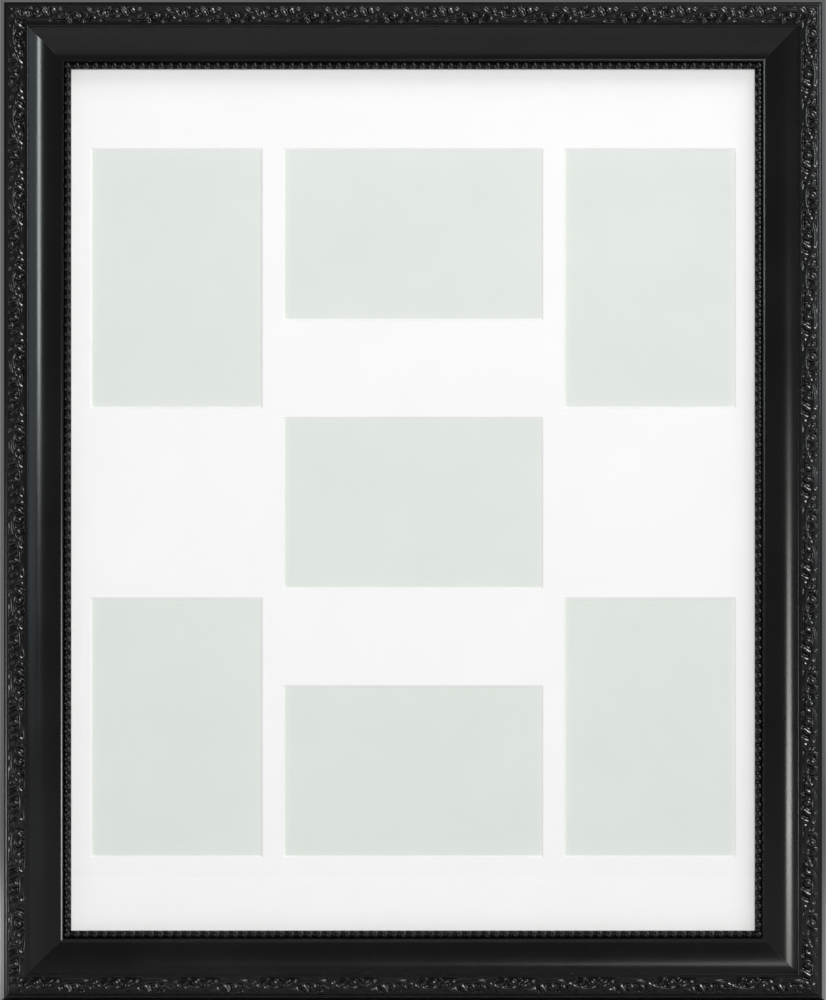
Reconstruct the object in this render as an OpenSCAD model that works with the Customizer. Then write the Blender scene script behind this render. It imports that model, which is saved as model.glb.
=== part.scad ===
// Collage photo frame for a wall: four mitred ornamental rails round a glazed
// mount board with seven bevelled windows, closed behind by a hardboard back.
// Millimetres. X runs to the right, Z up, and the front looks along -Y.
// The origin is the middle of the frame on the plane of the rails' backs.

/* [Sheets behind the glass] */
// Width of the glazing, mount board, insert sheet and backing board
sheet_w = 406; // [340:1:520]
// Height of the glazing, mount board, insert sheet and backing board
sheet_h = 508; // [440:1:640]
// Thickness of the glazing
glazing_t = 2; // [1.2:0.1:4]
// Thickness of the mount board
mount_t = 1.4; // [0.8:0.1:3]
// Thickness of the pale sheet that shows through the windows
insert_t = 0.4; // [0.2:0.1:1]
// Thickness of the backing board
backing_t = 3; // [2:0.1:5]
// Play between the sheets' edges and the rebate, on each side
rebate_play = 1; // [0.3:0.1:3]

/* [Windows in the mount board] */
// Short side of a window, at the back of its bevel
window_short = 96.5; // [60:0.5:104]
// Long side of a window, at the back of its bevel
window_long = 147; // [110:0.5:150]
// Share of the width left over beside the windows that lies between two columns
column_gap_share = 0.216; // [0.15:0.001:0.3]
// Distance from the sheet's top and bottom edges to the outermost windows
window_margin = 51.5; // [20:0.5:60]
// How far the whole group of windows lies below the middle
group_drop = 1.8; // [0:0.1:6]

/* [Moulding] */
// Width of the moulding, seen from the front
moulding_w = 41; // [36:0.5:60]
// Width of the lip that covers the edge of the sheets
lip_w = 7.7; // [5.5:0.1:12]
// How far the sloping outer side leans in towards the front
side_lean = 2.6; // [1:0.1:4]
// Height of the sloping outer side above the back
side_h = 17.6; // [14:0.1:22]
// Radius of the small cove between the outer side and the ornament
cove_r = 2; // [1:0.1:2.2]
// Width of the flat edge between the sloping side and the cove
cove_edge = 0.3; // [0.1:0.1:0.6]
// Height of the land that carries the ornament
land_h = 20; // [18:0.1:26]
// Height of the flat fillet inside the ornament
fillet_h = 22.2; // [21:0.1:28]
// Width of the flat fillet inside the ornament
fillet_w = 2; // [1:0.1:4]
// Depth of the quirk between that fillet and the scoop
quirk_d = 1.8; // [0.5:0.1:3]
// Height of the scoop at its lowest, beside the bead
scoop_h = 12.6; // [11:0.1:15]
// Width of the thin fillet between the scoop and the bead
thin_fillet_w = 1.5; // [0.8:0.1:3]
// How far the thin fillet stands over the scoop
thin_fillet_rise = 0.7; // [0.3:0.1:1.2]
// Height of the seat that carries the bead
bead_seat_h = 11; // [9.5:0.1:12]

/* [Leaf scroll ornament] */
// Width of the ornament strip
ornament_w = 9.8; // [8.5:0.1:12]
// Thickness of the ornament strip at its edges
ornament_edge_t = 0.5; // [0.3:0.1:1]
// Thickness of the ornament strip's ground, under the leaves
ornament_ground_t = 1.5; // [1.2:0.1:2.5]
// Width of the strip's sloping shoulders
ornament_shoulder = 1; // [0.5:0.1:1.5]
// Length that one repeat of the scroll aims for
repeat_aim = 45.7; // [40:0.1:60]
// How far the stem swings to each side of the strip's middle
stem_sway = 2.6; // [1.5:0.1:3]
// Radius of the scroll's stem
stem_r = 0.8; // [0.5:0.05:1]
// Radius of the curled branch
curl_r = 0.7; // [0.4:0.05:0.8]
// Angle at which the curl leaves the stem's side
curl_start = -60; // [-90:5:-30]
// Angle that the curl turns through
curl_sweep = 270; // [180:5:300]
// Place of the curl along a half repeat, as a share of its length
curl_at = 0.545; // [0.52:0.005:0.56]
// Place of the lone berry along a half repeat, as a share of its length
side_berry_at = 0.735; // [0.73:0.005:0.75]
// Radius of the berry inside a curl
berry_r = 0.95; // [0.6:0.05:1.1]
// Radius of the lone berry
side_berry_r = 0.85; // [0.5:0.05:1]
// Height of the leaves' ridges over the ground
leaf_rise = 1.4; // [0.8:0.1:2]
// Height of the stem's, curls' and berries' middles over the ground
relief_lift = 0.3; // [0.1:0.05:0.5]
// Gap between neighbouring forms of the relief, such as a stem and a leaf
relief_gap = 0.15; // [0.1:0.01:0.3]
// Distance from the mitre at which the first and last stem of a rail stop
stem_setback = 1.6; // [1.4:0.1:3]
// Half width of a leaf, as a share of its length
leaf_slimness = 0.21; // [0.15:0.01:0.3]

/* [Pearl bead] */
// Diameter of one pearl
pearl_d = 4.2; // [3:0.1:4.6]
// Distance that the pearls aim to lie apart
pearl_pitch_aim = 5.33; // [5:0.01:7]
// Width of the strip that shows on each side of the pearls
pearl_edge = 0.1; // [0.1:0.05:0.4]
// Thickness of the strip under the pearls
pearl_strip_t = 0.9; // [0.5:0.1:1.5]
// Height of the pearls' centres over the top of their strip
pearl_lift = 0.4; // [0.1:0.1:1]

/* [Corner nails] */
// Length of each leg of a corner nail
nail_leg = 5; // [3:0.5:8]
// Thickness of the nail's steel
nail_t = 0.5; // [0.3:0.1:1]
// Depth that the nail is driven in from the back
nail_depth = 7; // [4:0.5:10]
// Distances of the two nails from the outer corner, along each rail
nail_places = [9, 23]; // [6:1:26]

/* [Turn buttons] */
// Distance of the buttons from the middle on the top and bottom rails
button_x = 120; // [60:1:170]
// Distance of the buttons from the middle on the side rails
button_z = 150; // [130:1:220]
// Distance of the button's screw from the edge of the rebate
button_inset = 9; // [6:0.5:12]
// Reach of the button from its screw to its tip
button_reach = 19; // [15:0.5:22]
// Radius of the button's round end
button_eye_r = 5; // [4:0.1:7]
// Radius of the button's tip
button_tip_r = 3.2; // [2.5:0.1:3.8]
// Width of the leg between the eye and the tip
button_leg_w = 5.6; // [4:0.1:6.2]
// Thickness of the button's steel
button_t = 1; // [0.8:0.1:2]
// Gap that lets the button slide between the rail and the screw head
button_float = 0.1; // [0.05:0.01:0.3]

/* [D-ring hangers] */
// Height of the hangers above the middle
hanger_z = 96; // [40:1:115]
// Distance of the ring's pivot from the edge of the rebate
hanger_inset = 4.3; // [3:0.1:8]
// Width of the hanger strap
strap_w = 10; // [8:0.5:12]
// Thickness of the strap's steel, which is folded double
strap_t = 0.9; // [0.6:0.1:1.2]
// Gap between the two layers of the strap
strap_gap = 0.1; // [0.05:0.01:0.2]
// Distance from the ring's pivot to the strap's screw
strap_screw_at = 8.8; // [8:0.1:9.4]
// Distance from the screw to the strap's end
strap_end = 6; // [4:0.5:10]
// Diameter of the ring's wire
ring_wire_d = 2.5; // [1.8:0.1:3]
// Width inside the ring
ring_inside_w = 14; // [13:0.5:20]
// Length of the ring's straight arms
ring_arm = 3.5; // [3:0.1:8]
// Bend radius of the ring's corners, at the middle of the wire
ring_bend_r = 2.5; // [2:0.1:2.6]

/* [Screws] */
// Diameter of the screws' shank
screw_d = 3.5; // [2.5:0.1:4]
// Length of the screws below their seat in the rail
screw_depth = 11; // [8:0.5:11]
// Length of the screws' point
screw_point = 3; // [2:0.5:5]
// Radius of the screws' blunt tip
screw_tip_r = 0.3; // [0.1:0.1:0.6]
// Diameter of the screw heads
head_d = 6.4; // [5.5:0.1:7]
// Height of the screw heads
head_h = 1.8; // [1.2:0.1:2.5]
// Radius of the screw heads' dome
head_dome_r = 4; // [3.5:0.1:6]
// Width of the cross slot in the screw heads
slot_w = 0.9; // [0.6:0.1:1.2]
// Length of the cross slot in the screw heads
slot_l = 3.6; // [2:0.1:5]
// Depth of the cross slot in the screw heads
slot_depth = 0.9; // [0.5:0.1:1.1]

/* [Fits] */
// Radial clearance of a pin or shank in its hole
running_fit = 0.05; // [0.02:0.01:0.1]

/* [Hidden] */
$fn = 48;
overcut = 1;

// Sizes of the whole frame, from the sheets outward
rebate_depth = glazing_t + mount_t + insert_t + backing_t;
rebate_w = sheet_w + 2 * rebate_play;
rebate_h = sheet_h + 2 * rebate_play;
sight_w = rebate_w - 2 * lip_w;
sight_h = rebate_h - 2 * lip_w;
outer_w = sight_w + 2 * moulding_w;
outer_h = sight_h + 2 * moulding_w;

// Distances of the windows' centres from the middle of their group
spare_w = sheet_w - 2 * window_short - window_long;
column_offset = (window_short + window_long) / 2 + column_gap_share * spare_w;
row_offset = sheet_h / 2 - window_margin - window_long / 2;
landscape_offset = row_offset + (window_long - window_short) / 2;

// Stations across the moulding, measured inward from its outer edge
ornament_u = side_lean + cove_edge + cove_r;
fillet_u = ornament_u + ornament_w;
scoop_u = fillet_u + fillet_w;
bead_w = pearl_d + 2 * pearl_edge;
bead_u = moulding_w - bead_w;
thin_fillet_u = bead_u - thin_fillet_w;
rebate_u = moulding_w - lip_w;
scoop_top_h = fillet_h - quirk_d;
scoop_run = thin_fillet_u - scoop_u;
scoop_fall = scoop_top_h - scoop_h;
scoop_r = (pow(scoop_run, 2) + pow(scoop_fall, 2)) / (2 * scoop_fall);

// The scroll's curls sit between the stem's swing and the strip's other shoulder
ornament_mid = ornament_w / 2;
crest_h = land_h + ornament_ground_t + max(leaf_rise, relief_lift + berry_r);
stem_low = ornament_mid - stem_sway;
curl_out = (ornament_w - ornament_shoulder - stem_low - stem_r - relief_gap) / 2;
curl_v = ornament_w - ornament_shoulder - curl_out;

// Each leaf: place along the stem's swing, side of the stem, angle to the strip,
// and the share of the free width on that side that the leaf reaches across
leaves = [
  [0.105, 1, 62, 0.95], [0.22, 1, 58, 0.92], [0.335, 1, 55, 0.5],
  [0.72, 1, 50, 0.8],
  [0.035, -1, 40, 0.95], [0.83, -1, 35, 0.95]
];

// Hardware on the back
screw_r = screw_d / 2;
pilot_r = screw_r + running_fit;
button_u = rebate_u - button_inset;
wire_r = ring_wire_d / 2;
eye_bore_r = wire_r + running_fit;
eye_r = eye_bore_r + strap_t;
hanger_u = rebate_u - hanger_inset;
ring_half_w = ring_inside_w / 2 + wire_r;
strap_total_t = 2 * strap_t + strap_gap;

// Side numbers: the bottom rail is turned about Y to make the other three
BOTTOM = 0;
LEFT = 90;
TOP = 180;
RIGHT = 270;

wood = [0.07, 0.07, 0.075];
steel = [0.72, 0.72, 0.70];

// Turns a piece made for the bottom rail to its own side of the frame
module on_side(side) {
  half = (side == TOP || side == BOTTOM) ? outer_h / 2 : outer_w / 2;
  rotate([0, side, 0])
    translate([0, 0, -half])
      children();
}

// Outer length of the rail on a side
function rail_length(side) = (side == TOP || side == BOTTOM) ? outer_w : outer_h;

// Stands a section, drawn inward and forward, up along the length of a rail
module along_rail(length) {
  rotate([180, -90, 0])
    translate([0, 0, -length / 2])
      linear_extrude(height = length)
        children();
}

// Keeps what lies between the two mitres of a rail
module mitred(length) {
  tip = length / 2;
  intersection() {
    children();
    rotate([90, 0, 0])
      translate([0, 0, -overcut])
        linear_extrude(height = crest_h + 2 * overcut)
          polygon([
            [-tip - overcut, -overcut], [tip + overcut, -overcut],
            [tip - moulding_w - overcut, moulding_w + overcut],
            [-tip + moulding_w + overcut, moulding_w + overcut]
          ]);
  }
}

// Section of the moulding, with the rebate, coves and seats cut out
module moulding_section() {
  difference() {
    polygon([
      [0, 0], [rebate_u, 0], [rebate_u, rebate_depth], [moulding_w, rebate_depth],
      [moulding_w, bead_seat_h], [bead_u, bead_seat_h],
      [bead_u, scoop_h + thin_fillet_rise],
      [thin_fillet_u, scoop_h + thin_fillet_rise],
      [thin_fillet_u, scoop_top_h], [scoop_u, scoop_top_h],
      [scoop_u, fillet_h], [fillet_u, fillet_h],
      [fillet_u, land_h], [ornament_u, land_h], [ornament_u, side_h + cove_r],
      [side_lean, side_h + cove_r], [side_lean, side_h]
    ]);
    translate([ornament_u - cove_r, side_h + cove_r])
      circle(r = cove_r);
    translate([side_lean - cove_r, side_h])
      square([cove_r + cove_edge, cove_r + overcut]);
    intersection() {
      translate([thin_fillet_u, scoop_h + scoop_r])
        circle(r = scoop_r, $fn = 96);
      translate([scoop_u, 0])
        square([scoop_run, scoop_top_h + overcut]);
    }
  }
}

// One nail: a right-angled V of steel that straddles the mitre
module corner_nail(place) {
  for (leg = [[nail_leg, nail_t], [nail_t, nail_leg]])
    translate([place, -nail_depth, place])
      cube([leg[0], nail_depth, leg[1]]);
}

// Both nails of the four corners
module all_corner_nails() {
  for (flip_x = [0, 1], flip_z = [0, 1])
    mirror([flip_x, 0, 0])
      mirror([0, 0, flip_z])
        translate([-outer_w / 2, 0, -outer_h / 2])
          for (place = nail_places)
            corner_nail(place);
}

// A domed, cross-slotted wood screw, standing in the back with its seat at y
module screw(seat) {
  rotate([-90, 0, 0]) {
    difference() {
      translate([0, 0, seat])
        intersection() {
          cylinder(r = head_d / 2, h = head_h);
          translate([0, 0, head_h - head_dome_r])
            sphere(r = head_dome_r);
        }
      for (turn = [0, 90])
        rotate([0, 0, turn])
          translate([-slot_l / 2, -slot_w / 2, seat + head_h - slot_depth])
            cube([slot_l, slot_w, slot_depth + overcut]);
    }
    translate([0, 0, screw_point - screw_depth])
      cylinder(r = screw_r, h = screw_depth - screw_point + seat);
    translate([0, 0, -screw_depth])
      cylinder(r1 = screw_tip_r, r2 = screw_r, h = screw_point);
  }
}

// The hole that a screw is driven into
module pilot_hole() {
  rotate([90, 0, 0])
    translate([0, 0, -overcut])
      cylinder(r = pilot_r, h = screw_depth + overcut);
}

// Where the two turn buttons of a side stand along its rail
function button_places(side) =
  (side == TOP || side == BOTTOM) ? [-button_x, button_x] : [-button_z, button_z];

// Height of a hanger along the bottom-rail frame of its side
function hanger_along(side) = side == LEFT ? -hanger_z : hanger_z;

// A mitred rail with its rebate, nail slots and screw holes
module rail(side) {
  color(wood)
    difference() {
      on_side(side)
        difference() {
          mitred(rail_length(side))
            along_rail(rail_length(side))
              moulding_section();
          for (along = button_places(side))
            translate([along, 0, button_u])
              pilot_hole();
          if (side == LEFT || side == RIGHT)
            translate([hanger_along(side), 0, hanger_u - strap_screw_at])
              pilot_hole();
        }
      all_corner_nails();
    }
}

// Section of the ornament strip, with sloping shoulders
module ornament_section() {
  translate([ornament_u, land_h])
    polygon([
      [0, 0], [0, ornament_edge_t],
      [ornament_shoulder, ornament_ground_t],
      [ornament_w - ornament_shoulder, ornament_ground_t],
      [ornament_w, ornament_edge_t], [ornament_w, 0]
    ]);
}

// A pointed leaf with a ridge, cut from two crossing spheres, root at the origin
module leaf(length) {
  half = length / 2;
  half_w = length * leaf_slimness;
  rim = (pow(half, 2) + pow(leaf_rise, 2)) / (2 * leaf_rise);
  apart = (pow(half, 2) / half_w - half_w) / 2;
  ball = sqrt(pow(rim, 2) + pow(apart, 2));
  intersection() {
    translate([half, apart, leaf_rise - rim])
      sphere(r = ball, $fn = 96);
    translate([half, -apart, leaf_rise - rim])
      sphere(r = ball, $fn = 96);
    translate([-half, -half, -ornament_edge_t])
      cube([4 * half, 2 * half, leaf_rise + 2 * ornament_edge_t]);
  }
}

// Radius of the stem's swing over one half repeat
function swing_r(half) = (pow(half / 2, 2) + pow(stem_sway, 2)) / (2 * stem_sway);

// Distance of the stem from the strip's edge, at a place along one half repeat
function stem_v(half, s) =
  stem_low + swing_r(half) - sqrt(pow(swing_r(half), 2) - pow(s - half / 2, 2));

// One swing of the stem, bent about a centre over its middle, kept back at its ends
module stem(half, back) {
  from = asin((half / 2 - back[0]) / swing_r(half));
  to = asin((half / 2 - back[1]) / swing_r(half));
  translate([half / 2, stem_low + swing_r(half), relief_lift])
    rotate([0, 0, -90 - from])
      rotate_extrude(angle = from + to, $fn = 96)
        translate([swing_r(half), 0])
          circle(r = stem_r, $fn = 32);
}

// The curled branch in the hollow of the swing, with its berry
module curl(half) {
  translate([curl_at * half, curl_v, relief_lift]) {
    rotate([0, 0, curl_start])
      rotate_extrude(angle = curl_sweep, $fn = 64)
        translate([curl_out - curl_r, 0])
          circle(r = curl_r, $fn = 32);
    sphere(r = berry_r);
  }
}

// Half a repeat of the running scroll: stem, curl, berries and six leaves
module half_repeat(half, back) {
  stem(half, back);
  curl(half);
  translate([side_berry_at * half, ornament_w - ornament_shoulder - side_berry_r, relief_lift])
    sphere(r = side_berry_r);
  for (l = leaves) {
    root_v = stem_v(half, l[0] * half) + l[1] * (stem_r + relief_gap);
    free = l[1] > 0 ? ornament_w - ornament_shoulder / 2 - root_v : root_v - ornament_shoulder / 2;
    translate([l[0] * half, root_v, 0])
      rotate([0, 0, l[1] * l[2]])
        leaf(l[3] * free / sin(l[2]));
  }
}

// The pressed strip of running leaf scroll, fitted from mitre to mitre
module ornament(side) {
  run = rail_length(side) - 2 * (ornament_u + ornament_mid);
  halves = 2 * round(run / repeat_aim);
  half = run / halves;
  color(wood)
    on_side(side)
      mitred(rail_length(side))
        union() {
          along_rail(rail_length(side))
            ornament_section();
          rotate([90, 0, 0])
            translate([-run / 2, ornament_u + ornament_mid, land_h + ornament_ground_t])
              for (i = [0:halves - 1])
                translate([i * half, 0, 0])
                  mirror([0, i % 2, 0])
                    translate([0, -ornament_mid, 0])
                      half_repeat(half, [
                        i == 0 ? stem_setback : relief_gap / 2,
                        i == halves - 1 ? stem_setback : relief_gap / 2
                      ]);
        }
}

// The strip of pearls along the sight edge, with half a pearl at each mitre
module bead_strip(side) {
  pearl_r = pearl_d / 2;
  pearl_u = bead_u + bead_w / 2;
  pearl_h = bead_seat_h + pearl_strip_t + pearl_lift;
  pearl_sunk = pearl_lift + pearl_strip_t / 2;
  run = rail_length(side) - 2 * pearl_u;
  gaps = round(run / pearl_pitch_aim);
  pitch = run / gaps;
  color(wood)
    on_side(side)
      mitred(rail_length(side))
        union() {
          along_rail(rail_length(side))
            translate([bead_u, bead_seat_h])
              square([bead_w, pearl_strip_t]);
          rotate([90, 0, 0])
            for (i = [0:gaps])
              translate([i * pitch - run / 2, pearl_u, pearl_h])
                intersection() {
                  sphere(r = pearl_r);
                  translate([-pearl_r, -pearl_r, -pearl_sunk])
                    cube([pearl_d, pearl_d, pearl_d]);
                }
        }
}

// A flat sheet of the stack, with its front face at a depth behind the glass face
module sheet(from, thick) {
  translate([-sheet_w / 2, from - rebate_depth, -sheet_h / 2])
    cube([sheet_w, thick, sheet_h]);
}

module glazing() {
  color([0.85, 0.92, 0.9, 0.35])
    sheet(0, glazing_t);
}

// A window whose edges are cut at 45 degrees, wider at the front
module bevelled_window(w, h) {
  front = -rebate_depth + glazing_t;
  intersection() {
    translate([0, 0, -h])
      linear_extrude(height = 2 * h)
        bevel_section(w / 2, front);
    rotate([0, 90, 0])
      translate([0, 0, -w])
        linear_extrude(height = 2 * w)
          bevel_section(h / 2, front);
  }
}

// Section of a window, opening at 45 degrees towards the front face
module bevel_section(half, front) {
  polygon([
    [-half - mount_t - overcut, front - overcut], [half + mount_t + overcut, front - overcut],
    [half, front + mount_t], [half, front + mount_t + overcut],
    [-half, front + mount_t + overcut], [-half, front + mount_t]
  ]);
}

// White mount board with four portrait and three landscape windows
module mount_board() {
  color("white")
    difference() {
      sheet(glazing_t, mount_t);
      translate([0, 0, -group_drop]) {
        for (x = [-column_offset, column_offset], z = [-row_offset, row_offset])
          translate([x, 0, z])
            bevelled_window(window_short, window_long);
        for (z = [-landscape_offset, 0, landscape_offset])
          translate([0, 0, z])
            bevelled_window(window_long, window_short);
      }
    }
}

module insert_sheet() {
  color([0.88, 0.9, 0.875])
    sheet(glazing_t + mount_t, insert_t);
}

module backing_board() {
  color([0.52, 0.38, 0.25])
    sheet(glazing_t + mount_t + insert_t, backing_t);
}

module corner_nails() {
  color(steel)
    all_corner_nails();
}

// A flat steel button that swings about its screw, leg towards the board
module turn_button(side, along) {
  tip = button_reach - button_tip_r;
  color(steel)
    on_side(side)
      translate([along, button_float, button_u])
        rotate([-90, 0, 0])
          difference() {
            union() {
              cylinder(r = button_eye_r, h = button_t);
              translate([0, -tip, 0])
                cylinder(r = button_tip_r, h = button_t);
              translate([-button_leg_w / 2, -tip, 0])
                cube([button_leg_w, tip, button_t]);
            }
            translate([0, 0, -overcut])
              cylinder(r = pilot_r, h = button_t + 2 * overcut);
          }
}

module turn_button_screws() {
  color(steel)
    for (side = [BOTTOM, LEFT, TOP, RIGHT], along = button_places(side))
      on_side(side)
        translate([along, 0, button_u])
          screw(button_t + 2 * button_float);
}

// Section of the hanger: one strip folded round the ring's bar and back on itself
module strap_section() {
  reach = strap_screw_at + strap_end;
  difference() {
    union() {
      translate([0, eye_r])
        circle(r = eye_r);
      for (layer = [0, strap_t + strap_gap])
        translate([0, layer])
          square([reach, strap_t]);
    }
    translate([0, eye_r])
      circle(r = eye_bore_r);
  }
}

// A folded strap with a rounded end, screwed flat to the back of its rail
module hanger_strap(side) {
  color(steel)
    on_side(side)
      translate([hanger_along(side), 0, hanger_u])
        difference() {
          intersection() {
            translate([-strap_w / 2, 0, 0])
              rotate([0, 90, 0])
                linear_extrude(height = strap_w)
                  strap_section();
            rotate([-90, 0, 0])
              translate([0, 0, -overcut])
                union() {
                  translate([0, strap_screw_at])
                    cylinder(r = strap_end, h = 2 * eye_r + 2 * overcut);
                  translate([-strap_w, -strap_w])
                    cube([2 * strap_w, strap_w + strap_screw_at, 2 * eye_r + 2 * overcut]);
                }
          }
          translate([0, -overcut, -strap_screw_at])
            rotate([-90, 0, 0])
              cylinder(r = pilot_r, h = strap_total_t + 2 * overcut);
        }
}

module hanger_screws() {
  color(steel)
    for (side = [LEFT, RIGHT])
      on_side(side)
        translate([hanger_along(side), 0, hanger_u - strap_screw_at])
          screw(strap_total_t);
}

// A stretch of the ring's wire, bent to an arc in the ring's plane
module wire_bend(bend_r, from, sweep) {
  rotate([0, 0, from])
    rotate_extrude(angle = sweep)
      translate([bend_r, 0])
        circle(r = wire_r);
}

// A closed D of wire: bar in the strap's eye, two corners, two arms and a bow
module d_ring(side) {
  bar = ring_half_w - ring_bend_r;
  color(steel)
    on_side(side)
      translate([hanger_along(side), eye_r, hanger_u])
        rotate([90, 0, 0])
          union() {
            translate([-bar, 0, 0])
              rotate([0, 90, 0])
                cylinder(r = wire_r, h = 2 * bar);
            for (flip = [0, 1])
              mirror([flip, 0, 0]) {
                translate([bar, ring_bend_r, 0])
                  wire_bend(ring_bend_r, -90, 90);
                translate([ring_half_w, ring_bend_r, 0])
                  rotate([-90, 0, 0])
                    cylinder(r = wire_r, h = ring_arm);
              }
            translate([0, ring_bend_r + ring_arm, 0])
              wire_bend(ring_half_w, 0, 180);
          }
}

rail(TOP);  // rail_top
rail(BOTTOM);  // rail_bottom
rail(LEFT);  // rail_left
rail(RIGHT);  // rail_right
ornament(TOP);  // ornament_top
ornament(BOTTOM);  // ornament_bottom
ornament(LEFT);  // ornament_left
ornament(RIGHT);  // ornament_right
bead_strip(TOP);  // bead_strip_top
bead_strip(BOTTOM);  // bead_strip_bottom
bead_strip(LEFT);  // bead_strip_left
bead_strip(RIGHT);  // bead_strip_right
glazing();
mount_board();
insert_sheet();
backing_board();
corner_nails();
turn_button_screws();
turn_button(TOP, button_x);  // turn_button_top_left
turn_button(TOP, -button_x);  // turn_button_top_right
turn_button(BOTTOM, -button_x);  // turn_button_bottom_left
turn_button(BOTTOM, button_x);  // turn_button_bottom_right
turn_button(LEFT, -button_z);  // turn_button_left_upper
turn_button(LEFT, button_z);  // turn_button_left_lower
turn_button(RIGHT, button_z);  // turn_button_right_upper
turn_button(RIGHT, -button_z);  // turn_button_right_lower
hanger_strap(LEFT);  // hanger_strap_left
hanger_strap(RIGHT);  // hanger_strap_right
hanger_screws();
d_ring(LEFT);  // d_ring_left
d_ring(RIGHT);  // d_ring_right
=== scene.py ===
# %% [markdown]
# # A collage photo frame for a wall
# The real object is a glossy black picture moulding, mitred into a rectangle, with a
# white mount board behind glass.

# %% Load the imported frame
import math
import bpy
import numpy as np
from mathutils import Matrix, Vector


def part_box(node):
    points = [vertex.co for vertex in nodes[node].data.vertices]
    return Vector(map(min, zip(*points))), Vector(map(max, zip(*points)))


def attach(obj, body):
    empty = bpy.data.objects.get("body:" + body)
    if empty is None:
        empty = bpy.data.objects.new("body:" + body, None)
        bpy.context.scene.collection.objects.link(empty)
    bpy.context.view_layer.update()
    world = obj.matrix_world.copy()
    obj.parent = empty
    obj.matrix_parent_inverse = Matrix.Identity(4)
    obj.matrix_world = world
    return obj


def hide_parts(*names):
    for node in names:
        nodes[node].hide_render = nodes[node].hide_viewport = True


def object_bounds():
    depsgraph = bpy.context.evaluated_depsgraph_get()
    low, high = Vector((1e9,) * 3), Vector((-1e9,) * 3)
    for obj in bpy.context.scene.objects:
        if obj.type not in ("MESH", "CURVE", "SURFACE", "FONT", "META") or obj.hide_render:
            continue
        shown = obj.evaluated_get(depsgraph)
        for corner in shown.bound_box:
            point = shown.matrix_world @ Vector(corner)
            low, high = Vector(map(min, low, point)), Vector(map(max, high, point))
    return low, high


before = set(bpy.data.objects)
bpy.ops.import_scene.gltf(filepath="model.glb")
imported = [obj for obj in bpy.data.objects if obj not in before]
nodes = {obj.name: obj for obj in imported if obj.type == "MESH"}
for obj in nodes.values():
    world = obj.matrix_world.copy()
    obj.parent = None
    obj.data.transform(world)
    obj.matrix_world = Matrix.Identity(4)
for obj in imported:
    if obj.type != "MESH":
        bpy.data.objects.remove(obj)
cad_low, cad_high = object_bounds()
print("model box in mm", [round(1000 * (b - a), 1) for a, b in zip(cad_low, cad_high)])

# %% [markdown]
# The moulding's section is known in millimetres, measured inward from the outer edge
# (u) and forward from the back (h). Keeping millimetres in the lists and turning them
# to metres in one place leaves the numbers easy to check against the real section.

# %% Sizes of the frame
MM = 0.001
outer_w = (cad_high.x - cad_low.x) / MM
outer_h = (cad_high.z - cad_low.z) / MM
BOTTOM, LEFT, TOP, RIGHT = 0, 90, 180, 270
side_names = {BOTTOM: "bottom", LEFT: "left", TOP: "top", RIGHT: "right"}


def rail_length(side):
    return outer_w if side in (TOP, BOTTOM) else outer_h


def half_across(side):
    """From the frame's middle to the outer edge of a side's rail."""
    return (outer_h if side in (TOP, BOTTOM) else outer_w) / 2


def to_side(points, side):
    """Turns points (along, inward, forward) of the bottom rail to a side, in metres."""
    p = np.asarray(points, float)
    x, z = p[:, 0], p[:, 1] - half_across(side)
    a = math.radians(side)
    turned = np.stack([x * math.cos(a) + z * math.sin(a), -p[:, 2],
                       -x * math.sin(a) + z * math.cos(a)], axis=1)
    return turned * MM


print("outer size in mm", round(outer_w, 1), "by", round(outer_h, 1))

# %% [markdown]
# A mesh can be built with modelling operators or straight from lists of corners and
# faces. Lists are used here, because each rail is a section swept along a line and the
# corners follow from arithmetic.

# %% Make a mesh object from lists
def make_mesh(name, verts, faces, smooth=True):
    mesh = bpy.data.meshes.new(name)
    mesh.from_pydata([tuple(v) for v in verts], [], [tuple(f) for f in faces])
    mesh.validate()
    mesh.update()
    mesh.polygons.foreach_set("use_smooth", [smooth] * len(mesh.polygons))
    made = bpy.data.objects.new(name, mesh)
    bpy.context.scene.collection.objects.link(made)
    return made


# %% [markdown]
# ## The view
# A long lens from far away keeps the frame's four sides parallel, as the photograph
# does. The lens length follows from similar triangles: the sensor's height is to the
# lens as the frame's height is to the distance. It is then a touch longer, so that the
# frame fills the picture from side to side.

# %% Camera
CAMERA_DISTANCE = 10.0
SENSOR = 36.0
CLOSER = 1.003
scene = bpy.context.scene
scene.view_settings.view_transform = "Standard"
camera_data = bpy.data.cameras.new("camera")
camera = bpy.data.objects.new("camera", camera_data)
scene.collection.objects.link(camera)
camera_data.sensor_width = SENSOR
camera_data.lens = CLOSER * SENSOR * CAMERA_DISTANCE / (outer_h * MM)
camera_data.clip_end = 10 * CAMERA_DISTANCE
camera.location = (0.0, -CAMERA_DISTANCE, 0.0)
camera.rotation_euler = (math.radians(90), 0.0, 0.0)
scene.camera = camera
print("lens in mm", round(camera_data.lens, 1))

# %% [markdown]
# ## Studio light
# Black gloss shows what stands round it more than its own colour. The room is dim in
# front and paler behind, so that the flat parts stay black and the sides catch light.
# Walls could do this, but a world that changes with direction alone needs none, and
# every ray meets the same room, so gloss, glass and background agree.

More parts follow.
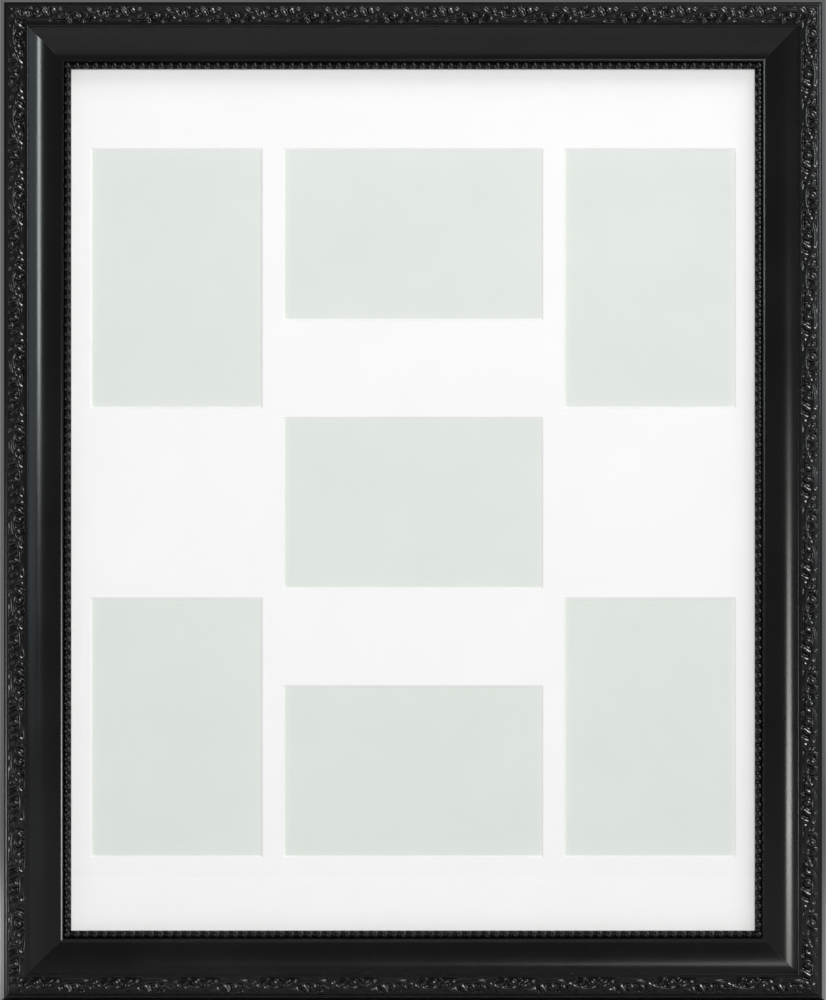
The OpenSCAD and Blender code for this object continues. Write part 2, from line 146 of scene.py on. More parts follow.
# %% World
FRONT_TONE = (0.13, 0.132, 0.135, 1)
MIDDLE_TONES = ((0.30, 0.17), (0.55, 0.28), (0.8, 0.30))
BEHIND_TONE = (0.27, 0.275, 0.275, 1)
world = bpy.data.worlds.new("studio")
scene.world = world
world.use_nodes = True
wn, wl = world.node_tree.nodes, world.node_tree.links
wn.clear()
direction = wn.new("ShaderNodeTexCoord")
split = wn.new("ShaderNodeSeparateXYZ")
wl.new(direction.outputs["Generated"], split.inputs[0])
room = wn.new("ShaderNodeValToRGB")
room.color_ramp.elements[0].position = 0.0
room.color_ramp.elements[0].color = FRONT_TONE
room.color_ramp.elements[1].position = 1.0
room.color_ramp.elements[1].color = BEHIND_TONE
for place, tone in MIDDLE_TONES:
    stop = room.color_ramp.elements.new(place)
    stop.color = (tone, tone, tone * 1.01, 1)
facing = wn.new("ShaderNodeMapRange")
facing.inputs["From Min"].default_value = -1.0
facing.inputs["From Max"].default_value = 1.0
wl.new(split.outputs["Y"], facing.inputs["Value"])
wl.new(facing.outputs[0], room.inputs[0])
lit = wn.new("ShaderNodeBackground")
wl.new(room.outputs[0], lit.inputs["Color"])
out = wn.new("ShaderNodeOutputWorld")
wl.new(lit.outputs[0], out.inputs["Surface"])
print("world stops", len(room.color_ramp.elements))

# %% [markdown]
# A soft lamp from the upper right gives the mount board its shadow under the top and
# right rails. Narrow upright strips, far to each side, draw the lines of light in the
# scoops: a hollow surface mirrors a strip as a line that runs along it. A large dim lamp
# behind lights the back. Some lamps light some pieces only, which Blender calls light
# linking: the strips are for the gloss, one from the front lifts the papers, because
# the pearls would mirror it, and one from the upper right puts glints on the carving.
# The collections for the carving and the gloss are filled as their pieces are made.

# %% Lamps
CENTRE = (0, 0, 0)
STRIP_DISTANCE = 1.5
COOL, COLD, WARM = (0.90, 0.98, 1.0), (0.72, 0.90, 1.0), (1.0, 0.99, 0.96)


def area_lamp(name, place, target, width, height, power, colour=(1, 1, 1)):
    data = bpy.data.lights.new(name, "AREA")
    data.shape = "RECTANGLE"
    data.size, data.size_y = width, height
    data.energy = power
    data.color = colour
    lamp = bpy.data.objects.new(name, data)
    scene.collection.objects.link(lamp)
    lamp.location = place
    aim = (Vector(target) - Vector(place)).to_track_quat("-Z", "Y")
    lamp.rotation_mode = "QUATERNION"
    lamp.rotation_quaternion = aim
    lamp.visible_camera = False
    return lamp


def strip_lamp(name, angle, low, high, glow, colour, width=0.22):
    """An upright strip at an angle from the viewing axis, lighting heights low to high."""
    a = math.radians(angle)
    middle = (low + high) / 2
    place = (STRIP_DISTANCE * math.sin(a), -STRIP_DISTANCE * math.cos(a), middle)
    power = glow * math.pi * width * (high - low)
    return area_lamp(name, place, (0, 0, middle), width, high - low, power, colour)


area_lamp("soft_lamp", (1.15, -1.6, 2.1), CENTRE, 1.7, 1.7, 28.0)
glint_lamp = area_lamp("glint_lamp", (1.5, -1.75, 1.5), CENTRE, 0.9, 0.9, 60.0)
line_lamps = [
    strip_lamp("right_strip", 52, 0.06, 0.62, 14.5, COOL),
    strip_lamp("right_haze", 79, -0.1, 0.62, 0.8, COLD, 0.85),
    strip_lamp("left_strip_upper", -59, -0.125, -0.03, 9.0, WARM, 0.30),
    strip_lamp("left_strip_lower", -59, -0.62, -0.155, 15.0, WARM, 0.42),
]
area_lamp("back_lamp", (-1.2, 2.4, 1.6), CENTRE, 1.2, 1.2, 30.0)
paper_lamp = area_lamp("paper_lamp", (0.15, -4.0, 0.2), CENTRE, 1.2, 1.2, 104.0)
papers = bpy.data.collections.new("papers")
for name in ("mount_board", "insert_sheet"):
    papers.objects.link(nodes[name])
paper_lamp.light_linking.receiver_collection = papers
carving = bpy.data.collections.new("carving")
glint_lamp.light_linking.receiver_collection = carving
gloss = bpy.data.collections.new("gloss")
for lamp in line_lamps:
    lamp.light_linking.receiver_collection = gloss

# %% [markdown]
# ## Helpers for materials
# Every material below is one shader fed by noises. The helpers add a noise, map its
# useful middle to a range, blend two colours by it, or turn it into a height in
# millimetres, so that each material reads as a short recipe.

# %% Small helpers for materials
def new_material(name):
    material = bpy.data.materials.new(name)
    material.use_nodes = True
    tree = material.node_tree
    tree.nodes.clear()
    output = tree.nodes.new("ShaderNodeOutputMaterial")
    shader = tree.nodes.new("ShaderNodeBsdfPrincipled")
    tree.links.new(shader.outputs[0], output.inputs["Surface"])
    return material, tree, shader


def noise(tree, coords, scale, detail=3.0, rough=0.5, stretch=(1, 1, 1)):
    """A noise texture in object space; stretch makes it longer along an axis."""
    mapping = tree.nodes.new("ShaderNodeMapping")
    mapping.inputs["Scale"].default_value = stretch
    tree.links.new(coords, mapping.inputs["Vector"])
    made = tree.nodes.new("ShaderNodeTexNoise")
    made.inputs["Scale"].default_value = scale
    made.inputs["Detail"].default_value = detail
    made.inputs["Roughness"].default_value = rough
    tree.links.new(mapping.outputs[0], made.inputs["Vector"])
    return made.outputs["Fac"]


def spread(tree, value, low, high, from_low=0.3, from_high=0.7):
    """Maps the useful middle of a noise to a range."""
    node = tree.nodes.new("ShaderNodeMapRange")
    node.inputs["From Min"].default_value = from_low
    node.inputs["From Max"].default_value = from_high
    node.inputs["To Min"].default_value = low
    node.inputs["To Max"].default_value = high
    tree.links.new(value, node.inputs["Value"])
    return node.outputs[0]


def tint(tree, value, dark, light):
    """Blends two colours by a value."""
    ramp = tree.nodes.new("ShaderNodeValToRGB")
    ramp.color_ramp.elements[0].position = 0.3
    ramp.color_ramp.elements[0].color = (*dark, 1)
    ramp.color_ramp.elements[1].position = 0.7
    ramp.color_ramp.elements[1].color = (*light, 1)
    tree.links.new(value, ramp.inputs[0])
    return ramp.outputs[0]


def bump(tree, shader, value, depth_mm, base=None):
    """Turns a value into a height of that many millimetres; base is an earlier bump."""
    node = tree.nodes.new("ShaderNodeBump")
    node.inputs["Distance"].default_value = depth_mm * MM
    node.inputs["Strength"].default_value = 1.0
    tree.links.new(value, node.inputs["Height"])
    if base is not None:
        tree.links.new(base.outputs[0], node.inputs["Normal"])
    tree.links.new(node.outputs[0], shader.inputs["Normal"])
    return node


def object_coords(tree):
    return tree.nodes.new("ShaderNodeTexCoord").outputs["Object"]


def put_material(piece, material):
    piece.data.materials.clear()
    piece.data.materials.append(material)


# %% [markdown]
# ## Floor
# The frame is shown upright on a plain pale floor. The floor is one large sheet with a
# faint mottle. Its front edge lies near, because the glass would mirror a far one as a line.

# %% Floor
FLOOR_REACH, FLOOR_FRONT = 8.0, 3.3
floor_paint, tree, shader = new_material("floor_paint")
coords = object_coords(tree)
mottle = noise(tree, coords, 9.0, 4.0)
tree.links.new(tint(tree, mottle, (0.80, 0.80, 0.795), (0.83, 0.83, 0.825)),
               shader.inputs["Base Color"])
tree.links.new(spread(tree, mottle, 0.62, 0.72), shader.inputs["Roughness"])
floor_z = cad_low.z
floor_corners = [(-FLOOR_REACH, -FLOOR_FRONT, floor_z), (FLOOR_REACH, -FLOOR_FRONT, floor_z),
                 (FLOOR_REACH, FLOOR_REACH, floor_z), (-FLOOR_REACH, FLOOR_REACH, floor_z)]
floor = make_mesh("floor", floor_corners, [(0, 1, 2, 3)], smooth=False)
put_material(floor, floor_paint)
print("floor at z in mm", round(floor_z / MM, 1))

# %% [markdown]
# ## Black lacquer
# The moulding is sprayed black over a smooth ground. Up close such lacquer has a faint
# orange peel, a roughness that drifts where it was rubbed, and a little dust. A plain
# black with one roughness would look like plastic film, so all three are noises.

# %% Lacquer material
lacquer, tree, shader = new_material("black_lacquer")
coords = object_coords(tree)
drift = noise(tree, coords, 14.0, 3.0)
peel = noise(tree, coords, 420.0, 2.0)
dust = noise(tree, coords, 2600.0, 2.0, 0.6)
tree.links.new(tint(tree, drift, (0.0035, 0.0035, 0.0038), (0.0065, 0.0065, 0.0067)),
               shader.inputs["Base Color"])
patch = tree.nodes.new("ShaderNodeMath")
patch.operation = "MULTIPLY_ADD"
tree.links.new(spread(tree, dust, -0.02, 0.03), patch.inputs[0])
patch.inputs[1].default_value = 1.0
tree.links.new(spread(tree, drift, 0.15, 0.20), patch.inputs[2])
tree.links.new(patch.outputs[0], shader.inputs["Roughness"])
shader.inputs["IOR"].default_value = 1.5
coarse = bump(tree, shader, peel, 0.004)
bump(tree, shader, dust, 0.0006, coarse)
print("lacquer nodes", len(tree.nodes))

# %% [markdown]
# Only the faces that show are lacquered. The back and the rebate stay bare wood, with
# the grain along each rail. The sweep below stores the distance along the rail and
# round the section as texture coordinates, so one wood serves all four rails.

# %% Bare wood material
bare_wood, tree, shader = new_material("bare_wood")
uv = tree.nodes.new("ShaderNodeTexCoord").outputs["UV"]
grain = noise(tree, uv, 260.0, 5.0, 0.6, (0.06, 1, 1))
pores = noise(tree, uv, 1500.0, 2.0, 0.5, (0.035, 1, 1))
broad = noise(tree, uv, 40.0, 3.0, 0.5, (0.05, 1, 1))
colour = tree.nodes.new("ShaderNodeMix")
colour.data_type = "RGBA"
colour.blend_type = "MULTIPLY"
colour.inputs["Factor"].default_value = 1.0
grain_tint = tint(tree, grain, (0.46, 0.30, 0.16), (0.64, 0.46, 0.28))
broad_tint = tint(tree, broad, (0.82, 0.80, 0.78), (1.0, 1.0, 1.0))
tree.links.new(grain_tint, colour.inputs[6])
tree.links.new(broad_tint, colour.inputs[7])
tree.links.new(colour.outputs[2], shader.inputs["Base Color"])
tree.links.new(spread(tree, pores, 0.62, 0.82), shader.inputs["Roughness"])
fibres = bump(tree, shader, grain, 0.05)
bump(tree, shader, pores, 0.03, fibres)
print("wood nodes", len(tree.nodes))

# %% [markdown]
# ## The moulding
# A planer cuts the real section in one pass: a leaning side, a small cove, a land for
# the ornament, a flat fillet, a wide scoop, a thin fillet and the seat of the bead. No
# real edge is perfectly sharp, so each corner of the list carries a small radius. The
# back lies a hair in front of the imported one, so that the corner nails' edges show.

# %% Draw the section
def rounded(corners, steps=5):
    """Replaces each corner (u, h, radius) by an arc of that radius."""
    made = []
    count = len(corners)
    for i in range(count):
        here = Vector(corners[i][:2])
        radius = corners[i][2]
        if radius == 0:
            made.append(here)
            continue
        before = (Vector(corners[i - 1][:2]) - here).normalized()
        after = (Vector(corners[(i + 1) % count][:2]) - here).normalized()
        angle = before.angle(after)
        run = radius / math.tan(angle / 2)
        centre = here + (before + after).normalized() * (radius / math.sin(angle / 2))
        first = here + before * run - centre
        last = here + after * run - centre
        turn = first.angle(last)
        for k in range(steps + 1):
            t = k / steps
            mixed = first * math.sin((1 - t) * turn) + last * math.sin(t * turn)
            made.append(centre + mixed / math.sin(turn))
    return made


BACK_H = 0.03
SCOOP_RUN, SCOOP_DROP, SCOOP_STEPS = 18.4, 7.8, 28
SCOOP_FOOT_U, SCOOP_FOOT_H = 35.1, 12.6
COVE_U, COVE_H, COVE_R, COVE_STEP = 2.9, 19.6, 2, 9
scoop_r = (SCOOP_RUN ** 2 + SCOOP_DROP ** 2) / (2 * SCOOP_DROP)
scoop_turn = math.asin(SCOOP_RUN / scoop_r)
scoop = []
for k in range(1, SCOOP_STEPS):
    a = scoop_turn * (1 - k / SCOOP_STEPS)
    scoop.append((SCOOP_FOOT_U - scoop_r * math.sin(a),
                  SCOOP_FOOT_H + scoop_r - scoop_r * math.cos(a), 0))
cove = []
for k in range(1, 90 // COVE_STEP):
    a = math.radians(k * COVE_STEP)
    cove.append((COVE_U + COVE_R * math.sin(a), COVE_H - COVE_R * math.cos(a), 0))
leaning_side = [(0, BACK_H, 0.3), (2.6, 17.6, 0.14), (2.9, 17.6, 0)]
land = [(4.9, 19.6, 0), (4.9, 20.0, 0), (14.7, 20.0, 0)]
outer_fillet = [(14.7, 22.2, 0.12), (16.7, 22.2, 0.9), (16.7, 20.4, 0.16)]
inner_fillet = [(35.1, 12.6, 0), (35.15, 12.85, 0.1), (35.95, 13.25, 0.4), (36.6, 13.25, 0.3)]
seat_and_lip = [(36.6, 11.0, 0), (41.0, 11.0, 0), (41.0, 6.8, 0.4)]
rebate = [(33.3, 6.8, 0.1), (33.3, BACK_H, 0.3)]
section = rounded(leaning_side + cove + land + outer_fillet + scoop + inner_fillet
                  + seat_and_lip + rebate)
print("section points", len(section))

# %% [markdown]
# The section is swept from mitre to mitre: a point at u millimetres from the outer edge
# stops u millimetres short of the rail's end, which is what a 45 degree cut does. A
# hair's breadth from the cut the surface dips, as a glued mitre shows a fine line.
# Normals are set one by one, weighted by the length of the neighbouring faces, so that
# wide flats stay flat beside their small rounded edges.

# %% Sweep the rails
def section_normals(points):
    made = []
    for i, here in enumerate(points):
        total = Vector((0, 0))
        for a, b in ((points[i - 1], here), (here, points[(i + 1) % len(points)])):
            edge = b - a
            total += Vector((-edge.y, edge.x))
        made.append(total.normalized())
    return made


normals_2d = section_normals(section)
count = len(section)
MITRE_DIP, MITRE_LINE = 0.05, 0.12
BARE_BELOW_H, BARE_BEYOND_U = 6.9, 0.35


def sweep_rail(side):
    length = rail_length(side)
    verts, normals, uvs = [], [], []
    around = [0.0]
    for a, b in zip(section, section[1:]):
        around.append(around[-1] + (b - a).length)
    stations = [(-1, MITRE_DIP, 0.0), (-1, 0.0, MITRE_LINE),
                (1, 0.0, MITRE_LINE), (1, MITRE_DIP, 0.0)]
    for sign, dip, inset in stations:
        for p, n, v in zip(section, normals_2d, around):
            x = sign * (length / 2 - p.x - inset)
            verts.append((x, p.x - n.x * dip, p.y - n.y * dip))
            lean = sign * 0.5 if dip else 0.0
            normals.append((lean, n.x, n.y))
            uvs.append((x * MM, v * MM))
    faces, wood = [], []
    for s in range(3):
        here, there = s * count, (s + 1) * count
        for i in range(count):
            j = (i + 1) % count
            faces.append((here + i, there + i, there + j, here + j))
            mid = (section[i] + section[j]) / 2
            wood.append(mid.y < BARE_BELOW_H and mid.x > BARE_BEYOND_U)
    for s, order in ((0, 1), (3, -1)):
        ring = verts[s * count:(s + 1) * count]
        start = len(verts)
        verts += ring
        normals += [(-order, 0.0, 0.0)] * count
        uvs += uvs[s * count:(s + 1) * count]
        faces.append(tuple(range(start, start + count))[::order])
        wood.append(True)
    rail = make_mesh("moulding_" + side_names[side], to_side(verts, side), faces)
    mesh = rail.data
    turned = to_side(np.array(normals) + [0, half_across(side), 0], side)
    mesh.normals_split_custom_set_from_vertices([Vector(n).normalized() for n in turned])
    layer = mesh.uv_layers.new(name="along_rail")
    for loop in mesh.loops:
        layer.data[loop.index].uv = uvs[loop.vertex_index]
    mesh.materials.append(lacquer)
    mesh.materials.append(bare_wood)
    mesh.polygons.foreach_set("material_index", [int(w) for w in wood])
    return rail


for side in (BOTTOM, LEFT, TOP, RIGHT):
    rail = sweep_rail(side)
    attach(rail, "root")
    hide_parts("rail_" + side_names[side])
    gloss.objects.link(rail)
    print(rail.name, "faces", len(rail.data.polygons))

# %% [markdown]
# ## The leaf scroll
# The real ornament is a pressed strip glued into the moulding. Its relief is dense, so
# it is made as a height field: a fine grid whose height is the greatest of many small
# forms. Each form is a formula of where the grid point lies, and numpy works out the
# whole grid at once.

# %% Forms of the relief
STRIP_U, STRIP_W, LAND_H, CREST_H = 4.9, 9.8, 20.0, 22.9
REPEAT_AIM = 45.7
SINK_H = 20.45
NO_FORM = -9.0
LEAF_BEND = 0.10


def leaf_form(s, v, root, angle, length, width, slope):
    """A pointed, bent leaf, carved as two flat flanks that fall from a ridge."""
    a = math.radians(angle)
    along = (s - root[0]) * math.cos(a) + (v - root[1]) * math.sin(a)
    across = -(s - root[0]) * math.sin(a) + (v - root[1]) * math.cos(a)
    t = np.clip(along / length, 0.0, 1.0)
    bend = across - LEAF_BEND * length * np.sin(np.pi * t)
    half = width * np.sin(np.pi * np.power(t, 0.75)) + 1e-6
    off = np.sqrt(bend ** 2 + 0.02) - 0.14
    roof = math.tan(math.radians(slope)) * (half - off)
    return np.where((along > 0) & (along < length) & (off < half), roof, NO_FORM)


def cap_form(distance, radius, rise):
    """A low round cap or ridge; distance is how far each point lies from its middle."""
    ball = (radius ** 2 + rise ** 2) / (2 * rise)
    cap = rise - ball + np.sqrt(np.clip(ball ** 2 - distance ** 2, 0, None))
    return np.where(distance < radius, cap, NO_FORM)


def distance_to(s, v, centre):
    return np.hypot(s - centre[0], v - centre[1])


def arc_distance(s, v, centre, radius, start, sweep):
    """Distance from an arc that starts at an angle and turns by sweep degrees."""
    ang = np.degrees(np.arctan2(v - centre[1], s - centre[0]))
    rel = np.mod(ang - start, 360.0)
    on = rel <= sweep
    ring = np.abs(distance_to(s, v, centre) - radius)
    ends = []
    for a in (start, start + sweep):
        px = centre[0] + radius * math.cos(math.radians(a))
        py = centre[1] + radius * math.sin(math.radians(a))
        ends.append(distance_to(s, v, (px, py)))
    return np.where(on, ring, np.minimum(ends[0], ends[1]))


print("forms of the relief: leaf, cap, ridge")

# %% [markdown]
# One half repeat holds a swing of the stem, a round boss and two pairs of leaves in its
# hollow, two berries and small leaves outside it. The next half is its mirror image.
# The sunk ground follows the stem from side to side, so its edges are wavy, as on the
# old carved scrolls that such strips copy. Places along the strip are shares of the half
# repeat, so the pattern fits every rail; all else is in millimetres.

# %% Height of the relief over one rail
STEM_SWAY, STEM_H, STEM_R, STEM_RISE = 2.5, 21.3, 1.35, 0.95
BOSS_PLACE, BOSS_V, BOSS_R, BOSS_H, BOSS_RISE = 0.5, 6.1, 2.2, 21.35, 1.1
BERRY_H, BERRY_RISE = 21.7, 0.5
LEAF_H, LEAF_SLOPE, LEAF_OFFSET = 21.55, 29.0, 0.6
OUTER_RISE, INNER_EDGE_H, INNER_BORDER_H = 0.5, 22.0, 22.05
OUTER_INSET, INNER_INSET, BORDER_WAVE, BORDER_SLOPE, EDGE_FADE = 0.2, 0.3, 0.62, 0.9, 0.45
# Each leaf: place along the stem, side of it, angle, length and half width.
LEAVES = [
    (0.03, 1, 58, 5.6, 1.6), (0.20, 1, 45, 6.2, 1.6),
    (0.73, 1, 50, 5.6, 1.6), (0.91, 1, 42, 5.0, 1.4),
    (0.12, -1, 36, 4.8, 1.35), (0.84, -1, 28, 5.0, 1.3),
]
# Each berry: place along, place across and radius.
BERRIES = [(0.335, 8.45, 1.15), (0.69, 8.5, 1.2)]
SOFTENING = 6


def relief_height(s, v, halves, half):
    """Height over the back at s along (0 at the stem's first crossing) and v across."""
    mid = STRIP_W / 2
    phase = np.cos(np.pi * (s / half - 0.5))
    outer_edge = OUTER_INSET + BORDER_WAVE * (1 + phase)
    inner_edge = STRIP_W - INNER_INSET - BORDER_WAVE * (1 - phase)
    height = np.full(s.shape, SINK_H)
    borders = ((OUTER_RISE, outer_edge - v), (INNER_BORDER_H - SINK_H, v - inner_edge))
    for rise, border in borders:
        ramp = np.clip(border / BORDER_SLOPE + 0.5, 0, 1)
        height = np.maximum(height, SINK_H + rise * ramp * ramp * (3 - 2 * ramp))
    swing = ((half / 2) ** 2 + STEM_SWAY ** 2) / (2 * STEM_SWAY)
    turn = math.degrees(math.asin(half / 2 / swing))
    stem_low = mid - STEM_SWAY
    for c in range(-1, int(halves) + 1):
        near = (s > (c - 0.5) * half) & (s < (c + 1.5) * half)
        cols = np.where(near.any(axis=0))[0]
        if len(cols) == 0:
            continue
        a, b = cols[0], cols[-1] + 1
        ls = s[:, a:b] - c * half
        lv = v[:, a:b] if c % 2 == 0 else STRIP_W - v[:, a:b]
        best = height[:, a:b]
        stem = arc_distance(ls, lv, (half / 2, stem_low + swing), swing, -90 - turn, 2 * turn)
        best = np.maximum(best, STEM_H + cap_form(stem, STEM_R, STEM_RISE))
        boss = distance_to(ls, lv, (BOSS_PLACE * half, BOSS_V))
        best = np.maximum(best, BOSS_H + cap_form(boss, BOSS_R, BOSS_RISE))
        for place, across, radius in BERRIES:
            berry = distance_to(ls, lv, (place * half, across))
            best = np.maximum(best, BERRY_H + cap_form(berry, radius, BERRY_RISE * radius))
        for place, way, angle, length, width in LEAVES:
            root_s = place * half
            stem_v = stem_low + swing - math.sqrt(swing ** 2 - (root_s - half / 2) ** 2)
            root = (root_s, stem_v + way * LEAF_OFFSET)
            form = leaf_form(ls, lv, root, way * angle, length, width, LEAF_SLOPE)
            best = np.maximum(best, LEAF_H + form)
        height[:, a:b] = best
    fade = np.clip(np.minimum(v, STRIP_W - v) / EDGE_FADE, 0, 1)
    edge = np.where(v < mid, SINK_H, INNER_EDGE_H)
    height = edge + (height - edge) * np.sqrt(fade)
    for _ in range(SOFTENING):
        padded = np.pad(height, 1, mode="edge")
        height = 0.5 * height + 0.125 * (padded[:-2, 1:-1] + padded[2:, 1:-1]
                                         + padded[1:-1, :-2] + padded[1:-1, 2:])
    height[0], height[-1] = SINK_H, INNER_EDGE_H
    return np.minimum(height, CREST_H - 0.02)


print("leaves in a half repeat", len(LEAVES))

# %% [markdown]
# The grid is 0.28 mm fine, about half of what a pixel of the main view covers, and its
# columns fan out a little so that the first and last lie on the mitres. It is closed
# underneath, because the finished piece should be a solid thing.

# %% Strips of leaf scroll
GRID = 0.28


def scroll_strip(side):
    length = rail_length(side)
    run = length - 2 * (STRIP_U + STRIP_W / 2)
    halves = 2 * round(run / REPEAT_AIM)
    half = run / halves
    rows = int(round(STRIP_W / GRID)) + 1
    cols = int(round((length - 2 * STRIP_U) / GRID)) + 1
    v = np.repeat(np.linspace(0, STRIP_W, rows)[:, None], cols, axis=1)
    t = np.linspace(-1, 1, cols)[None, :]
    x = t * (length / 2 - STRIP_U - v)
    h = relief_height(x + run / 2, v, halves, half)
    top = np.stack([x, v + STRIP_U, h], axis=2).reshape(-1, 3)
    base = [np.stack([x[r], v[r] + STRIP_U, np.full(cols, LAND_H)], axis=1)
            for r in (0, rows - 1)]
    verts = np.concatenate([top] + base)
    index = np.arange(rows * cols).reshape(rows, cols)
    low = rows * cols + np.arange(cols)
    high = low + cols
    loop_rows = [low] + [index[r] for r in range(rows)] + [high]
    faces = []
    ring = loop_rows + [low]
    for a, b in zip(ring, ring[1:]):
        faces += list(zip(a[:-1], a[1:], b[1:], b[:-1]))
    faces.append(tuple(r[0] for r in loop_rows))
    faces.append(tuple(r[-1] for r in reversed(loop_rows)))
    strip = make_mesh("leaf_scroll_" + side_names[side], to_side(verts, side), faces)
    put_material(strip, lacquer)
    return strip, len(faces)


for side in (BOTTOM, LEFT, TOP, RIGHT):
    strip, faces_made = scroll_strip(side)
    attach(strip, "root")
    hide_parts("ornament_" + side_names[side])
    carving.objects.link(strip)
    gloss.objects.link(strip)
    print(strip.name, "faces", faces_made)

# %% [markdown]
# ## The pearls
# A string of pearls runs along the sight edge, with half a pearl at each mitre. Each
# pearl is a dome of rings. At a mitre the points past the cut are pulled back onto it,
# which gives the flat half that meets its neighbour.

# %% Strips of pearls
BEAD_U, BEAD_W, SEAT_H, STRIP_T = 36.6, 4.4, 11.0, 0.9
PEARL_R, PEARL_LIFT, PITCH_AIM = 2.1, 0.4, 5.33
LINK_R, LINK_SINK = 0.75, 0.1
ROUNDS = 28
RING_ANGLES = (9, 20, 31, 42, 53, 64, 75, 86, 97, 104)


def pearl_strip(side):
    length = rail_length(side)
    pearl_u = BEAD_U + BEAD_W / 2
    pearl_h = SEAT_H + STRIP_T + PEARL_LIFT
    run = length - 2 * pearl_u
    gaps = round(run / PITCH_AIM)
    pitch = run / gaps
    verts, faces = [], []

    def add(points, quads):
        start = len(verts)
        for px, pu, ph in points:
            limit = length / 2 - pu
            verts.append((max(-limit, min(limit, px)), pu, ph))
        faces.extend(tuple(start + i for i in q) for q in quads)

    rings = [(math.sin(math.radians(a)), math.cos(math.radians(a))) for a in RING_ANGLES]
    dome_quads = []
    for r in range(len(rings) - 1):
        upper, lower = r * ROUNDS, (r + 1) * ROUNDS
        for k in range(ROUNDS):
            j = (k + 1) % ROUNDS
            dome_quads.append((upper + k, lower + k, lower + j, upper + j))
    dome_quads.append(tuple(range(ROUNDS)))
    for i in range(gaps + 1):
        middle = i * pitch - run / 2
        points = []
        for wide, rise in rings:
            for k in range(ROUNDS):
                a = 2 * math.pi * k / ROUNDS
                points.append((middle + PEARL_R * wide * math.cos(a),
                               pearl_u + PEARL_R * wide * math.sin(a),
                               pearl_h + PEARL_R * rise))
        add(points, dome_quads)
    link = []
    for angle in range(200, -21, -20):
        a = math.radians(angle)
        link.append((pearl_u + LINK_R * math.cos(a), pearl_h - LINK_SINK + LINK_R * math.sin(a)))
    base = [(BEAD_U + 0.02, SEAT_H), (BEAD_U + 0.02, SEAT_H + STRIP_T - 0.15),
            (BEAD_U + 0.15, SEAT_H + STRIP_T), (BEAD_U + BEAD_W - 0.25, SEAT_H + STRIP_T),
            (BEAD_U + BEAD_W - 0.02, SEAT_H + STRIP_T - 0.25), (BEAD_U + BEAD_W - 0.02, SEAT_H)]
    for shape in (link, base):
        n = len(shape)
        points = [(sign * length, u, h) for sign in (-1, 1) for u, h in shape]
        quads = [(i, n + i, n + (i + 1) % n, (i + 1) % n) for i in range(n)]
        add(points, quads + [tuple(range(n)), tuple(reversed(range(n, 2 * n)))])
    strip = make_mesh("pearls_" + side_names[side], to_side(verts, side), faces)
    strip.data.set_sharp_from_angle(angle=math.radians(50))
    put_material(strip, lacquer)
    return strip, gaps + 1


for side in (BOTTOM, LEFT, TOP, RIGHT):
    strip, pearls = pearl_strip(side)
    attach(strip, "root")
    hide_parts("bead_strip_" + side_names[side])
    gloss.objects.link(strip)
    print(strip.name, "pearls", pearls)

# %% [markdown]
# ## Mount board
# Mount board is a white core faced with a barely toothed paper. The knife leaves the
# core open at 45 degrees round each window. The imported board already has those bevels,
# so it only needs paper: the face and the cut are told apart by which way they face.

# %% Mount board paper
mount_paper, tree, shader = new_material("white_mount_board")
coords = object_coords(tree)
tooth = noise(tree, coords, 1400.0, 4.0, 0.6)
cloud = noise(tree, coords, 26.0, 3.0)
face_normal = tree.nodes.new("ShaderNodeNewGeometry")
parts = tree.nodes.new("ShaderNodeSeparateXYZ")
tree.links.new(face_normal.outputs["True Normal"], parts.inputs[0])
cut = tree.nodes.new("ShaderNodeMapRange")
cut.inputs["From Min"].default_value = -0.9
cut.inputs["From Max"].default_value = -0.8
tree.links.new(parts.outputs["Y"], cut.inputs["Value"])
face = tint(tree, cloud, (0.925, 0.925, 0.922), (0.94, 0.94, 0.938))
both = tree.nodes.new("ShaderNodeMix")
both.data_type = "RGBA"
tree.links.new(cut.outputs[0], both.inputs["Factor"])
tree.links.new(face, both.inputs[6])
both.inputs[7].default_value = (0.96, 0.96, 0.955, 1)
tree.links.new(both.outputs[2], shader.inputs["Base Color"])
tree.links.new(spread(tree, tooth, 0.78, 0.9), shader.inputs["Roughness"])
bump(tree, shader, tooth, 0.012)
put_material(nodes["mount_board"], mount_paper)
print("mount board nodes", len(tree.nodes))

# %% [markdown]
# Behind the windows lies a pale sheet with a breath of green. It is left empty, as a
# place for pictures.

# %% Insert sheet paper
insert_paper, tree, shader = new_material("pale_insert_sheet")
coords = object_coords(tree)
fibre = noise(tree, coords, 900.0, 4.0, 0.6)
cloud = noise(tree, coords, 18.0, 3.0)
tree.links.new(tint(tree, cloud, (0.700, 0.745, 0.694), (0.722, 0.764, 0.715)),
               shader.inputs["Base Color"])
tree.links.new(spread(tree, fibre, 0.55, 0.7), shader.inputs["Roughness"])
bump(tree, shader, fibre, 0.006)
put_material(nodes["insert_sheet"], insert_paper)
print("insert nodes", len(tree.nodes))

# %% [markdown]
# ## Glazing
# Clear glass in front of paper hardly shows, apart from its reflection. Light that
# passes through it to the paper would arrive as noise, so shadow and diffuse rays go
# straight through and only the view and its reflections meet real glass.

